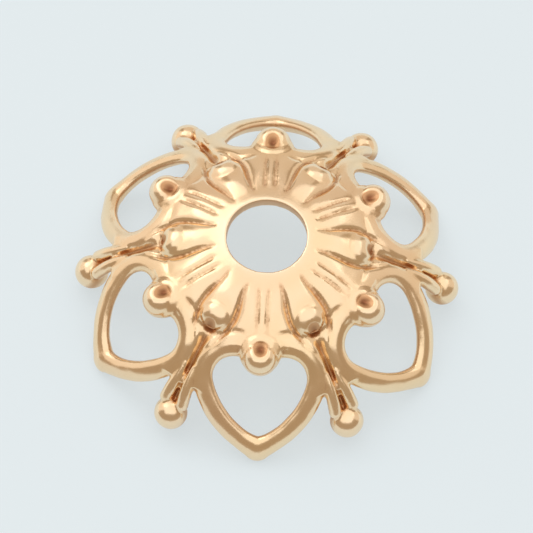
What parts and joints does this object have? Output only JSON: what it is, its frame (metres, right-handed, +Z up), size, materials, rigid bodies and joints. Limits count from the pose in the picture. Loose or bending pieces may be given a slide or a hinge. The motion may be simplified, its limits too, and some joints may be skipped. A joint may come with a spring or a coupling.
{
  "type": "flower bead cap",
  "caption": "Small pierced dome in the form of a blossom, with heart-shaped wire petals round a central thread hole; it caps the end of a round bead.",
  "frame": {"origin": "middle of the footprint, on the surface that the petal tips stand on", "axes": "+Z up along the thread hole, out of the crown of the dome; one petal points towards -Y"},
  "size_m": [0.01, 0.01, 0.0032],
  "materials": {
    "gilt": "polished pale rose-gold plate over cast brass"
  },
  "bodies": {
    "root": {"bead_cap": "gilt"}
  },
  "joints": []
}
